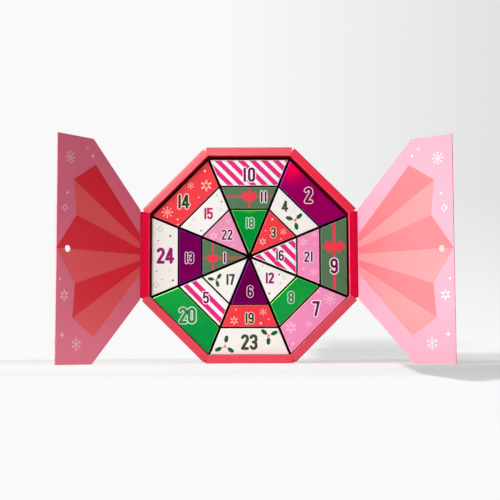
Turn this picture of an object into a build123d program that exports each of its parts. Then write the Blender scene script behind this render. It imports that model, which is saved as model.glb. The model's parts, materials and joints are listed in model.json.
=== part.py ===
from build123d import *
import math
import os

os.makedirs("parts", exist_ok=True)

# A standing advent calendar: an octagonal tray of cardboard with hollow walls, closed by two
# half-octagon wings, and filled by 24 numbered gift boxes in eight sectors of three rings.
# X runs to the right, Y away from the viewer and Z up. The origin is the centre of the
# underside of the bottom wall.

# Tray
across_flats = 400.0
tray_depth = 60.0
rim_width = 16.0
wall_board = 1.5
back_board = 2.0
mitre_width = 9.0
corner_seam = 0.2

# Box array
box_recess = 10.0
array_play = 3.5
sector_gap = 4.6
ring_gap = 3.0
inner_ring_share = 0.488
middle_ring_share = 0.726

# Cartons and their lids
carton_board = 0.8
tab_depth = 8.0
tab_side_clearance = 1.0
tab_reach_share = 0.35

# Wings and their hinges
wing_board = 2.0
wing_margin = 0.5
wing_left_open = 50.0
wing_right_open = 40.0
hole_diameter = 12.0
hole_inset = 25.0
tape_board = 0.3
tape_width = 12.0

# Running clearance between pieces that move past each other, and overrun of cuts
clearance = 0.3
overrun = 1.0

# The number on each box, from the inner ring outwards, clockwise from the top sector
box_numbers = [
    [18, 11, 10],
    [3, 4, 2],
    [16, 21, 9],
    [12, 8, 7],
    [6, 19, 23],
    [17, 5, 20],
    [1, 13, 24],
    [22, 15, 14],
]
wall_names = [
    "wall_top",
    "wall_top_right",
    "wall_right",
    "wall_bottom_right",
    "wall_bottom",
    "wall_bottom_left",
    "wall_left",
    "wall_top_left",
]

# Angles of the octagon
sectors = len(box_numbers)
sector_angle = 360.0 / sectors
half_angle = math.radians(sector_angle / 2)

# Depths, measured along Y
front = -tray_depth / 2
wall_depth = tray_depth - back_board
lid_back = box_recess + carton_board
carton_front = lid_back + clearance
carton_depth = wall_depth - clearance - carton_front

# Distances from the octagon's centre
apothem = across_flats / 2
cavity = apothem - rim_width
array_end = cavity - array_play
inner_end = array_end * inner_ring_share
middle_end = array_end * middle_ring_share
wall_half_length = (cavity + mitre_width) * math.tan(half_angle) - corner_seam
array_drop = array_play - clearance


def face_plane(sector, depth, height):
    """The plane of one sector at a depth behind the rim.

    Its X runs along the octagon's side, its Y outwards from the centre and its Z to the viewer.
    """
    turn = math.radians(sector * sector_angle)
    return Plane(
        origin=(0, front + depth, height),
        x_dir=(math.cos(turn), 0, -math.sin(turn)),
        z_dir=(0, -1, 0),
    )


def half_width(radius, inset):
    """Half the width of a sector at a radius, with its two sides moved in by an inset."""
    return radius * math.tan(half_angle) - inset / math.cos(half_angle)


def cell_outline(near, far, inset):
    """The corners of a box outline: a triangle where near is None, else a trapezium."""
    wide = half_width(far, inset)
    if near is None:
        return [(0, inset / math.sin(half_angle)), (wide, far), (-wide, far)]
    narrow = half_width(near, inset)
    return [(-narrow, near), (narrow, near), (wide, far), (-wide, far)]


def write(piece, name):
    """Label a finished piece and write it to its own file."""
    piece.part.label = name
    export_step(piece.part, f"parts/{name}.step")


def make_back_panel():
    """The octagonal back board, with its corners cut off where the walls leave their notches."""
    corners = []
    for sector in range(sectors):
        turn = math.radians(sector * sector_angle)
        for side in (-wall_half_length, wall_half_length):
            across = side * math.cos(turn) + apothem * math.sin(turn)
            up = apothem * math.cos(turn) - side * math.sin(turn)
            corners.append((across, up))
    with BuildPart() as panel:
        with BuildSketch(face_plane(0, wall_depth, apothem)):
            with BuildLine():
                Polyline(*corners, close=True)
            make_face()
        extrude(amount=-back_board)
    return panel


def make_wall(sector):
    """One side of the tray, folded over to a hollow channel that is open at both ends.

    The ends are mitred next to the cavity and cut square outside it, so that each corner of
    the rim has a notch.
    """
    mitre_start = cavity * math.tan(half_angle) - corner_seam
    half_outline = [
        (mitre_start, cavity),
        (wall_half_length, cavity + mitre_width),
        (wall_half_length, apothem),
    ]
    outline = half_outline + [(-x, y) for x, y in reversed(half_outline)]
    channel_width = rim_width - 2 * wall_board
    with BuildPart() as wall:
        with BuildSketch(face_plane(sector, 0, apothem)):
            with BuildLine():
                Polyline(*outline, close=True)
            make_face()
        extrude(amount=-wall_depth)
        with BuildSketch(face_plane(sector, wall_board, apothem)):
            with Locations((0, cavity + rim_width / 2)):
                Rectangle(2 * (wall_half_length + overrun), channel_width)
        extrude(amount=-wall_depth, mode=Mode.SUBTRACT)
    return wall


def make_carton(sector, near, far):
    """A gift box without its lid: a hollow prism, open to the front."""
    side_inset = sector_gap / 2
    inner_near = None if near is None else near + carton_board
    outer = cell_outline(near, far, side_inset)
    inner = cell_outline(inner_near, far - carton_board, side_inset + carton_board)
    mouth = face_plane(sector, carton_front, apothem - array_drop)
    with BuildPart() as carton:
        with BuildSketch(mouth):
            with BuildLine():
                Polyline(*outer, close=True)
            make_face()
        extrude(amount=-carton_depth)
        with BuildSketch(mouth):
            with BuildLine():
                Polyline(*inner, close=True)
            make_face()
        extrude(amount=carton_board - carton_depth, mode=Mode.SUBTRACT)
    return carton


def tab_place(near, far):
    """Where a lid's tuck tab crosses its box: the distance from the centre of its near face.

    The tab swings about the lid's far edge, so its free edge reaches towards the near wall by
    the swing, which the place leaves free.
    """
    if near is None:
        tip = sector_gap / 2 / math.sin(half_angle)
        return tip + (far - tip) * tab_reach_share
    length = far - near - carton_board
    deep = carton_board + tab_depth
    swing = (deep**2 - (carton_board + clearance) ** 2) / (2 * length)
    return near + carton_board + swing + clearance


def make_lid(sector, near, far):
    """A lid, flush over its box and folding out about its far edge, with its tuck tab."""
    side_inset = sector_gap / 2
    height = apothem - array_drop
    outline = cell_outline(near, far, side_inset)
    place = tab_place(near, far)
    tab_half = half_width(place, side_inset + carton_board) - tab_side_clearance
    with BuildPart() as lid:
        with BuildSketch(face_plane(sector, box_recess, height)):
            with BuildLine():
                Polyline(*outline, close=True)
            make_face()
        extrude(amount=-carton_board)
        with BuildSketch(face_plane(sector, lid_back, height)):
            with Locations((0, place + carton_board / 2)):
                Rectangle(2 * tab_half, carton_board)
        extrude(amount=-tab_depth)
    return lid


def make_wing(side, opening):
    """A wing, half of the octagon, hinged on its short edge and open to an angle.

    side is -1 for the left wing and 1 for the right one. The angle is measured from the plane
    of the rim. The printed face passes through the hinge axis, with the board behind it.
    """
    turn = math.radians(opening)
    hinge = (side * (apothem + tape_board + clearance), front - clearance, apothem)
    reach = apothem - wing_margin
    short = reach * math.tan(half_angle)
    half_outline = [(0, short), (reach - short, reach), (reach, reach)]
    outline = half_outline + [(x, -y) for x, y in reversed(half_outline)]
    plane = Plane(
        origin=hinge,
        x_dir=(side * math.cos(turn), -math.sin(turn), 0),
        z_dir=(-side * math.sin(turn), -math.cos(turn), 0),
    )
    with BuildPart() as wing:
        with BuildSketch(plane):
            with BuildLine():
                Polyline(*outline, close=True)
            make_face()
            with Locations((reach - hole_inset, 0)):
                Circle(hole_diameter / 2, mode=Mode.SUBTRACT)
        extrude(amount=-wing_board)
    return wing


def make_hinge_tapes():
    """The two paper hinges, glued to the side walls along their front edges."""
    with BuildPart() as tapes:
        for side in (-1, 1):
            middle = side * (apothem + tape_board / 2)
            with BuildSketch(Plane.XY.offset(apothem - wall_half_length)):
                with Locations((middle, front + tape_width / 2)):
                    Rectangle(tape_board, tape_width)
            extrude(amount=2 * wall_half_length)
    return tapes


rings = [
    (None, inner_end - ring_gap / 2),
    (inner_end + ring_gap / 2, middle_end - ring_gap / 2),
    (middle_end + ring_gap / 2, array_end),
]

write(make_back_panel(), "back_panel")
write(make_hinge_tapes(), "hinge_tapes")
write(make_wing(-1, wing_left_open), "wing_left")
write(make_wing(1, wing_right_open), "wing_right")
for sector, name in enumerate(wall_names):
    write(make_wall(sector), name)
for sector, numbers in enumerate(box_numbers):
    for (near, far), number in zip(rings, numbers):
        write(make_carton(sector, near, far), f"carton_{number:02d}")
        write(make_lid(sector, near, far), f"lid_{number:02d}")
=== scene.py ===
"""Dresses the octagonal advent calendar: boards, foil boxes, printed faces, wings and the studio."""

import json
import logging
import math
from dataclasses import dataclass, field, replace
from enum import Enum
from functools import partial

import bmesh
import bpy
from mathutils import Matrix, Vector


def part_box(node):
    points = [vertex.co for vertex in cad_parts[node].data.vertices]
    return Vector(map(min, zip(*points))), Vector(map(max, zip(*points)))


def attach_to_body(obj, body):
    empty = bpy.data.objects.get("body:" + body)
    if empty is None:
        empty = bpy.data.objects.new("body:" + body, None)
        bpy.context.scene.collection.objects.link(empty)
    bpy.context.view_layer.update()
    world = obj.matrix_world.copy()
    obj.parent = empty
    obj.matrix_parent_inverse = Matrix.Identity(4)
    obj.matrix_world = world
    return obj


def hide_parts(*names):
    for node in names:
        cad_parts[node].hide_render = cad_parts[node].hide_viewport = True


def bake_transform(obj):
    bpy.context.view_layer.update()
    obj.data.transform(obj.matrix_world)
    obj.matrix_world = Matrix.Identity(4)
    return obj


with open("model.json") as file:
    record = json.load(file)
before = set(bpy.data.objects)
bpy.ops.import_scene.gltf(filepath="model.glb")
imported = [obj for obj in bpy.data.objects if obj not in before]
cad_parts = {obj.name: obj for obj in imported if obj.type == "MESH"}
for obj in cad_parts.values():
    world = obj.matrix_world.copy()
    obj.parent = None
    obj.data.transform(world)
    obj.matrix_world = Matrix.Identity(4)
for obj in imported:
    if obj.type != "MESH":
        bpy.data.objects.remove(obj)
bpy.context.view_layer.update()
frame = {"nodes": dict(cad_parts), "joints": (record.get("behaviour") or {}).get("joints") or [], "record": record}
panel_low, panel_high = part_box("back_panel")

log = logging.getLogger("calendar")

MM = 0.001
TOUCH = 0.1 * MM
SECTORS = 8
HALF_SECTOR = math.pi / SECTORS
TRAY = "tray"
UP = Vector((0.0, 0.0, 1.0))
CENTRE = (panel_low[2] + panel_high[2]) / 2

Colour = tuple[float, float, float]
Point = tuple[float, float]
Spot = tuple[float, float, float]
Row = tuple[float, ...]
Socket = bpy.types.NodeSocket
Tree = bpy.types.NodeTree
Form = bmesh.types.BMesh


def srgb(red: int, green: int, blue: int) -> Colour:
    """Turn an 8-bit display colour into the linear colour that a shader takes.

    Args:
        red: Red, 0 to 255.
        green: Green, 0 to 255.
        blue: Blue, 0 to 255.

    Returns:
        The linear colour.
    """

    def linear(value: int) -> float:
        """Return one channel as linear light."""
        share = value / 255
        return share / 12.92 if share <= 0.04045 else ((share + 0.055) / 1.055) ** 2.4

    return (linear(red), linear(green), linear(blue))


def polar(at: Point, radius: float, turn: float) -> Point:
    """Return the point at a distance from another, in a direction in radians."""
    return (at[0] + radius * math.cos(turn), at[1] + radius * math.sin(turn))


def spread(tree: Tree, source: Socket, ends: Point, values: Point, smooth: bool = False) -> Socket:
    """Add a node that spreads a value over a range.

    Args:
        tree: The node tree.
        source: The value.
        ends: The value's two ends.
        values: What the ends become. The result stays between them.
        smooth: Whether the change is smooth at its ends.

    Returns:
        The result.
    """
    node = tree.nodes.new("ShaderNodeMapRange")
    node.interpolation_type = "SMOOTHSTEP" if smooth else "LINEAR"
    for name, value in zip(("From Min", "From Max", "To Min", "To Max"), (*ends, *values)):
        node.inputs[name].default_value = value
    tree.links.new(source, node.inputs["Value"])
    return node.outputs["Result"]


def work(tree: Tree, operation: str, *values: Socket | float) -> Socket:
    """Add a node that works values together.

    Args:
        tree: The node tree.
        operation: The operation's name.
        values: Its values, each a socket or a number.

    Returns:
        The result.
    """
    node = tree.nodes.new("ShaderNodeMath")
    node.operation = operation
    for value, socket in zip(values, node.inputs):
        if isinstance(value, float):
            socket.default_value = value
        else:
            tree.links.new(value, socket)
    return node.outputs[0]


class Shader:
    """A small helper that adds nodes to one material and links them."""

    def __init__(self, name: str) -> None:
        """Start an empty material with its surface shader and object coordinates."""
        self.material = bpy.data.materials.new(name)
        self.material.use_nodes = True
        self.tree = self.material.node_tree
        self.surface = self.tree.nodes["Principled BSDF"]
        self.place = self.tree.nodes.new("ShaderNodeTexCoord").outputs["Object"]

    def link(self, source: Socket, target: Socket) -> None:
        """Link an output to an input."""
        self.tree.links.new(source, target)

    def noise(self, scale: float, detail: float) -> Socket:
        """Add a noise pattern.

        Args:
            scale: Features per metre.
            detail: Octaves of detail.

        Returns:
            The pattern's factor.
        """
        texture = self.tree.nodes.new("ShaderNodeTexNoise")
        texture.inputs["Scale"].default_value = scale
        texture.inputs["Detail"].default_value = detail
        self.link(self.place, texture.inputs["Vector"])
        return texture.outputs["Fac"]

    def ramp(self, factor: Socket, low: float, high: float) -> Socket:
        """Spread a factor from low to high over the middle of its range."""
        return spread(self.tree, factor, (0.3, 0.7), (low, high))

    def glow(self, centre: Colour, reach: float) -> Socket:
        """Return a factor that falls smoothly from 1 at a place to 0 at a distance from it."""
        away = self.tree.nodes.new("ShaderNodeVectorMath")
        away.operation = "DISTANCE"
        away.inputs[1].default_value = centre
        self.link(self.place, away.inputs[0])
        return spread(self.tree, away.outputs["Value"], (0.0, reach), (1.0, 0.0), smooth=True)

    def blend(self, factor: Socket, first: object, second: object) -> Socket:
        """Mix two colours, each a colour or another mix's output, by a factor.

        Args:
            factor: The mix factor.
            first: The colour at factor 0.
            second: The colour at factor 1.

        Returns:
            The mixed colour.
        """
        node = self.tree.nodes.new("ShaderNodeMix")
        node.data_type = "RGBA"
        self.link(factor, node.inputs[0])
        for index, colour in ((6, first), (7, second)):
            if isinstance(colour, tuple):
                node.inputs[index].default_value = (*colour, 1.0)
            else:
                self.link(colour, node.inputs[index])
        return node.outputs[2]

    def bump(self, height: Socket, depth: float, under: Socket | None = None) -> Socket:
        """Turn a height into a normal.

        Args:
            height: The height factor, 0 to 1.
            depth: The real height of factor 1, in metres.
            under: The normal that this one lies on, if any.

        Returns:
            The bumped normal.
        """
        node = self.tree.nodes.new("ShaderNodeBump")
        node.inputs["Distance"].default_value = depth
        self.link(height, node.inputs["Height"])
        if under is not None:
            self.link(under, node.inputs["Normal"])
        return node.outputs["Normal"]

    def dress(self, inputs: dict[str, Socket | float | Row]) -> bpy.types.Material:
        """Set or link the surface's inputs.

        Args:
            inputs: The value or the socket for each input's name.

        Returns:
            The material.
        """
        for name, value in inputs.items():
            if isinstance(value, Socket):
                self.link(value, self.surface.inputs[name])
            else:
                self.surface.inputs[name].default_value = value
        return self.material


def scaled(colour: Colour, factor: float) -> Colour:
    """Return a colour made lighter or darker."""
    return tuple(min(1.0, channel * factor) for channel in colour)


@dataclass(frozen=True)
class Board:
    """A printed board under a thin satin film, with the paper's fibre showing through it."""

    name: str
    colour: Colour
    roughness: float = 0.42
    mottle: float = 0.05
    fibre: float = 0.00002
    gloss: float = 0.14
    cockle: float = 0.0004
    cockle_scale: float = 22.0
    cloud_scale: float = 14.0
    film_scale: float = 24.0
    speck_scale: float = 1400.0

    def make(self) -> bpy.types.Material:
        """Build the material."""
        shader = Shader(self.name)
        speck = shader.noise(self.speck_scale, 2.0)
        low, high = (scaled(self.colour, 1.0 + side * self.mottle) for side in (-1.0, 1.0))
        body = shader.blend(shader.noise(self.cloud_scale, 4.0), low, high)
        film = shader.noise(self.film_scale, 2.0)
        waves = shader.bump(shader.noise(self.cockle_scale, 2.0), self.cockle)
        return shader.dress({
            "Base Color": shader.blend(shader.ramp(speck, 0.0, 0.06), body, scaled(self.colour, 0.7)),
            "Roughness": shader.ramp(film, self.roughness - 0.01, self.roughness + 0.02),
            "Normal": shader.bump(speck, self.fibre, waves),
            "Specular IOR Level": self.gloss,
        })


@dataclass(frozen=True)
class Fold:
    """A folded edge of printed board: the ink cracked here and there to the paper as wear, and the fold painted a
    tenth lighter as a painted highlight.
    """

    name: str
    colour: Colour
    paper: Colour = (0.80, 0.74, 0.70)
    worn: float = 0.3
    crack_depth: float = 0.00005
    crack_scale: float = 260.0
    roughness: float = 0.34
    gloss: float = 0.5

    def make(self) -> bpy.types.Material:
        """Build the material."""
        shader = Shader(self.name)
        cracks = shader.noise(self.crack_scale, 5.0)
        return shader.dress({
            # Painted highlight along the fold, partly wear: the colour a tenth lighter, with pale paper at the
            # cracks.
            "Base Color": shader.blend(
                shader.ramp(cracks, 0.0, self.worn), scaled(self.colour, 1.1), self.paper
            ),
            "Roughness": self.roughness,
            "Normal": shader.bump(cracks, self.crack_depth),
            "Specular IOR Level": self.gloss,
        })


@dataclass(frozen=True)
class Foil:
    """Mirror foil on board: metallic, a little wavy, with cloudy changes of tone, and on some boxes a painted
    reflection spot.
    """

    name: str
    colour: Colour
    second: Colour
    roughness: float = 0.3
    clouds: float = 9.0
    waves: float = 0.0012
    blush: Colour | None = None
    blush_at: Colour = (0.0, 0.0, 0.0)
    blush_reach: float = 0.05
    wave_scale: float = 16.0
    grain_depth: float = 0.000015
    grain_scale: float = 900.0

    def make(self) -> bpy.types.Material:
        """Build the material."""
        shader = Shader(self.name)
        cloud = shader.ramp(shader.noise(self.clouds, 2.0), 0.0, 1.0)
        body = shader.blend(cloud, self.colour, self.second)
        # Painted reflection: a colour that fades out from one place on the foil.
        if self.blush is not None:
            body = shader.blend(shader.glow(self.blush_at, self.blush_reach), body, self.blush)
        grain = shader.noise(self.grain_scale, 3.0)
        waves = shader.bump(shader.noise(self.wave_scale, 2.0), self.waves)
        return shader.dress({
            "Base Color": body,
            "Roughness": shader.ramp(grain, self.roughness - 0.05, self.roughness + 0.08),
            "Normal": shader.bump(grain, self.grain_depth, waves),
            "Metallic": 1.0,
        })


@dataclass(frozen=True)
class RawBoard:
    """Uncoated board, as it shows at cut edges and inside the boxes."""

    name: str
    colour: Colour
    roughness: float = 0.85
    cloud_scale: float = 40.0
    fibre_scale: float = 700.0
    fibre_depth: float = 0.00006

    def make(self) -> bpy.types.Material:
        """Build the material."""
        shader = Shader(self.name)
        fibre = shader.noise(self.fibre_scale, 5.0)
        cloud = shader.noise(self.cloud_scale, 3.0)
        body = shader.blend(cloud, scaled(self.colour, 0.93), scaled(self.colour, 1.05))
        return shader.dress({
            "Base Color": shader.blend(shader.ramp(fibre, 0.0, 0.35), body, scaled(self.colour, 0.78)),
            "Roughness": self.roughness,
            "Normal": shader.bump(fibre, self.fibre_depth),
        })


CRIMSON = srgb(222, 12, 58)
RIM_RED = Board("rim_red", CRIMSON, 0.3, 0.03, 0.000006, 0.5)
RIM_FOLD = Fold("rim_fold", CRIMSON, worn=0.18)
RAW = RawBoard("raw_board", (0.74, 0.66, 0.60))
BOX_INSIDE = RawBoard("box_inside", (0.82, 0.80, 0.76))
LINING = RawBoard("back_lining", (0.70, 0.16, 0.22))
# Dark red on the cartons' outer sides: painted shade in the gaps between the boxes.
CARTON_SIDE_PAINTED_SHADE = Board("box_side", srgb(84, 16, 32), 0.5, gloss=0.1)
CARTON_FOLD_PAINTED_SHADE = Fold("box_side_fold", srgb(84, 16, 32), worn=0.12)

CREAM = Board("cream", srgb(243, 243, 238), 0.45, 0.02)
CORAL = Board("coral", srgb(240, 56, 68), gloss=0.16)
SAGE = Board("sage", srgb(80, 118, 85), mottle=0.08)
PINK = Board("pink", srgb(242, 146, 192))
# Box 22's board: a darker copy of the pink board, as painted shade.
PINK_PAINTED_SHADE = Board("pink_painted_shade", srgb(234, 148, 188))
# Near-black red inside the tray: painted shade in the gaps between the boxes.
TRAY_INSIDE_PAINTED_SHADE = Board("tray_inside_painted_shade", srgb(60, 5, 14), 0.6, gloss=0.05)
GREEN_FOIL = Foil("green_foil", srgb(0, 148, 70), srgb(32, 174, 68))
# Box 18's foil: a darker copy of the green foil as painted shade, with a painted highlight along its top edge.
GREEN_FOIL_PAINTED_SHADE_AND_HIGHLIGHT = Foil(
    "green_foil_painted_shade_and_highlight", srgb(2, 134, 52), srgb(8, 148, 56), blush=srgb(84, 208, 70),
    blush_at=(0.0, -0.02, 0.296), blush_reach=0.024,
)
# Lighter green foil for the folded edges: painted highlight along the folds.
GREEN_FOLD_PAINTED_HIGHLIGHT = Foil("green_foil_fold", srgb(120, 236, 100), srgb(150, 240, 110), 0.34, waves=0.0)
GREEN_DEEP = Foil("green_foil_deep", srgb(42, 122, 72), srgb(60, 136, 80), 0.4)
PURPLE_FOIL = Foil("purple_foil", srgb(106, 0, 72), srgb(128, 0, 90))
# Lighter purple foil for the folded edges: painted highlight along the folds.
PURPLE_FOLD_PAINTED_HIGHLIGHT = Foil("purple_foil_fold", srgb(136, 36, 136), srgb(116, 50, 178), 0.3, waves=0.0)
PURPLE_DEEP = Foil("purple_foil_deep", srgb(74, 8, 52), srgb(88, 10, 60), 0.4)
# Box 2's purple foil, with a painted red reflection of the rim near its upper-left corner.
PURPLE_FOIL_PAINTED_RED_REFLECTION = Foil(
    "purple_foil_painted_red_reflection", srgb(134, 0, 98), srgb(156, 0, 84), blush=srgb(240, 0, 66),
    blush_at=(0.078, -0.02, 0.366), blush_reach=0.048,
)
RED_PURPLE_DEEP = Foil("purple_numeral_foil_deep", srgb(104, 6, 56), srgb(114, 8, 54), 0.4)

WHITE_INK = Board("white_ink", srgb(250, 246, 246), 0.4, 0.01)
BLUSH_INK = Board("peach_ink", srgb(255, 214, 206))
FROST_INK = Board("frost_ink", srgb(252, 196, 188))
ROSE_INK = Board("rose_ink", srgb(255, 200, 222))
MINT_INK = Board("mint_ink", srgb(204, 234, 208), 0.4, 0.01)
LILAC_INK = Board("lilac_ink", srgb(232, 200, 222), 0.4, 0.01)
MAGENTA_INK = Board("magenta_ink", srgb(226, 34, 130))
PURPLE_INK = Board("purple_ink", srgb(104, 2, 78))
PLUM_INK = Board("plum_ink", srgb(152, 0, 106))
CERISE_INK = Board("cerise_ink", srgb(200, 0, 98))
FOREST_INK = Board("forest_ink", srgb(16, 64, 16))
OLIVE_INK = Board("olive_ink", srgb(62, 74, 46))
RIBBON_INK = Board("ribbon_ink", srgb(232, 58, 76))
DULL_RIBBON_INK = Board("dull_ribbon_ink", srgb(176, 88, 78))
BERRY_INK = Board("berry_ink", srgb(236, 112, 112))
LEAF_INK = Board("leaf_ink", srgb(12, 92, 48))
DUST_INK = Board("dust_ink", srgb(112, 58, 100))
FAINT_INK = Board("faint_ink", srgb(214, 200, 204))

WING_PINK = Board("wing_pink", (0.94, 0.19, 0.305), 0.36, 0.02, gloss=0.5)
WING_STRONG = Board("wing_strong", (0.90, 0.008, 0.03), 0.36, 0.02, gloss=0.46)
WING_LIGHT = Board("wing_light", (0.96, 0.105, 0.12), 0.36, 0.02, gloss=0.46)
WING_FLAKE = Board("wing_flake", (1.0, 0.7, 0.76), 0.36, 0.01, gloss=0.5)
WING_BACK = Board("wing_back", CRIMSON, 0.45, 0.03, 0.000006, 0.1)

Finish = Board | Fold | Foil | RawBoard


class Palette:
    """Builds each finish once and hands out its material."""

    made: dict[str, bpy.types.Material] = {}

    @classmethod
    def material(cls, finish: Finish) -> bpy.types.Material:
        """Return the material of a finish, building it at its first use."""
        if finish.name not in cls.made:
            cls.made[finish.name] = finish.make()
        return cls.made[finish.name]


def make_object(name: str, form: Form, finishes: list[Finish]) -> bpy.types.Object:
    """Turn a finished bmesh into an object at the origin.

    Args:
        name: The object's name.
        form: The bmesh, which is freed.
        finishes: The finishes, in the order of the faces' material indices.

    Returns:
        The new object.
    """
    mesh = bpy.data.meshes.new(name)
    form.to_mesh(mesh)
    form.free()
    for finish in finishes:
        mesh.materials.append(Palette.material(finish))
    piece = bpy.data.objects.new(name, mesh)
    bpy.context.scene.collection.objects.link(piece)
    return piece


def attach(piece: bpy.types.Object, body: str, slot: str, *nodes: str) -> None:
    """Let a piece ride on a body and stand for CAD nodes.

    Args:
        piece: The piece.
        body: The body that it rides on.
        slot: The record's material slot; not used.
        nodes: The CAD nodes that it replaces, if any.
    """
    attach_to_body(piece, body)
    if nodes:
        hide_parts(*nodes)
    log.info("%s rides on %s", piece.name, body)


def merged_node(node: str) -> Form:
    """Copy a CAD node's mesh, with its loose triangles joined to flat faces."""
    form = bmesh.new()
    form.from_mesh(frame["nodes"][node].data)
    bmesh.ops.remove_doubles(form, verts=form.verts, dist=0.01 * MM)
    bmesh.ops.dissolve_limit(
        form, angle_limit=math.radians(0.5), verts=form.verts, edges=form.edges
    )
    form.normal_update()
    return form


def soften(form: Form, edges: list, radius: float, segments: int, material: int = -1) -> None:
    """Round edges off.

    Args:
        form: The mesh.
        edges: The edges to round.
        radius: The width taken off each side.
        segments: Faces across the rounding.
        material: The material index of the new faces, or -1 to keep their neighbours'.
    """
    bmesh.ops.bevel(
        form, geom=edges, offset=radius, segments=segments, affect="EDGES", profile=0.5,
        clamp_overlap=True, material=material,
    )


def sharp(edge: bmesh.types.BMEdge) -> bool:
    """Return whether an edge is an outer corner of a solid."""
    return len(edge.link_faces) == 2 and edge.is_convex and edge.calc_face_angle(0.0) > math.radians(20)


class Digit:
    """Strokes of condensed round-ended numerals, drawn in a box one unit high."""

    weight = 0.17
    bold = 0.19
    width = 0.5
    one_width = 0.25
    spacing = 0.055
    kerning = {"10": 0.06, "11": 0.03}
    arc_steps = 7
    side = (width - weight) / 2
    top = (1.0 - weight) / 2

    @classmethod
    def arc(cls, x: float, y: float, start: float, end: float, radius: float = side) -> list[Point]:
        """Return points along an arc, with angles in degrees."""
        turns = [math.radians(start + (end - start) * i / cls.arc_steps) for i in range(cls.arc_steps + 1)]
        return [polar((x, y), radius, turn) for turn in turns]

    @classmethod
    def loop(cls, low: float, high: float) -> list[Point]:
        """Return a closed upright loop with round ends between two heights."""
        side = cls.side
        return cls.arc(0.0, high - side, 0, 180) + cls.arc(0.0, low + side, 180, 360)

    @classmethod
    def strokes(cls, digit: str) -> list[tuple[list[Point], bool]]:
        """Return a digit's strokes, each with whether it is closed."""
        side, top = cls.side, cls.top
        arch = cls.arc(0.0, top - side, 165, 0)
        shoulder = [(side, 0.13), (side - 0.035, 0.045), (side - 0.1, 0.0), (-0.02, 0.0)]
        six = cls.arc(0.0, top - side, 25, 180) + [(-side, side - top)]
        shapes: dict[str, list[tuple[list[Point], bool]]] = {
            "0": [(cls.loop(-top, top), True)],
            "1": [([(0.0, top), (0.0, -top)], False)],
            "2": [
                (arch + [(side, 0.14), (-side, -top + 0.015)], False),
                ([(-side, -top), (side, -top)], False),
            ],
            "3": [(arch + shoulder, False), ([(x, -y) for x, y in arch + shoulder], False)],
            "4": [
                ([(0.07, top), (-side - 0.01, -0.21), (side + 0.05, -0.21)], False),
                ([(0.1, top - 0.01), (0.1, -top)], False),
            ],
            "5": [
                ([(side, top), (-side, top), (-side, 0.02), (-0.05, 0.085), (0.06, 0.075)]
                 + cls.arc(0.0, -0.07, 60, 0) + cls.arc(0.0, side - top, 0, -155), False),
            ],
            "6": [(cls.loop(-top, 0.05), True), (six, False)],
            "7": [([(-side, top), (side, top), (-0.03, -top)], False)],
            "8": [(cls.loop(-0.01, top), True), (cls.loop(-top, 0.01), True)],
            "9": [(cls.loop(-0.05, top), True), ([(-x, -y) for x, y in six], False)],
        }
        return shapes[digit]


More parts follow.
